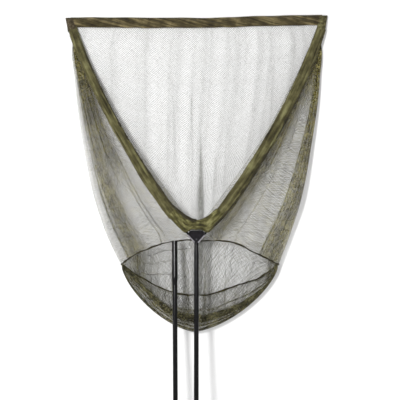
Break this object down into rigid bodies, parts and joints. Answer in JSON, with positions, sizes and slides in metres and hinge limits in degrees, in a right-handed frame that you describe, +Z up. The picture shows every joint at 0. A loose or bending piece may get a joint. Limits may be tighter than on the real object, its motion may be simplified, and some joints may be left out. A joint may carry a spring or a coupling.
{
  "type": "landing net and frame with handle",
  "caption": "Triangular fishing landing net: curved arms in cloth sleeves, deep fine-mesh bag, spreader block and black two-section handle, leaning upright against a wall",
  "frame": {"origin": "centre of the butt face of the upper handle section, which is the one that carries the net", "axes": "+Z up with the net standing as it leans, +X to the right seen from the front, +Y from the front toward the wall; the frame and handle lean back 7 degrees from vertical about X"},
  "size_m": [1.096, 0.2474, 1.9004],
  "materials": {
    "black_tube": "satin black",
    "black_moulding": "fine moulded grain",
    "grey_metal": "dark satin",
    "olive_cloth": "close plain weave",
    "brown_cloth": "close plain weave, doubled",
    "olive_net": "fine diamond mesh",
    "pale_net": "fine diamond mesh"
  },
  "bodies": {
    "root": {"handle_upper": "black_tube", "handle_lower": "black_tube", "arm_left": "black_tube", "arm_right": "black_tube", "ferrule": "grey_metal", "spreader_screw": "grey_metal", "spreader_block": "black_moulding", "sleeve_left": "olive_cloth", "sleeve_right": "olive_cloth", "sleeve_top": "olive_cloth", "throat": "olive_cloth", "ring_seam": "olive_cloth", "pocket_left": "brown_cloth", "pocket_right": "brown_cloth", "net_back": "pale_net", "net_left": "olive_net", "net_right": "olive_net", "net_base": "olive_net"}
  },
  "joints": []
}
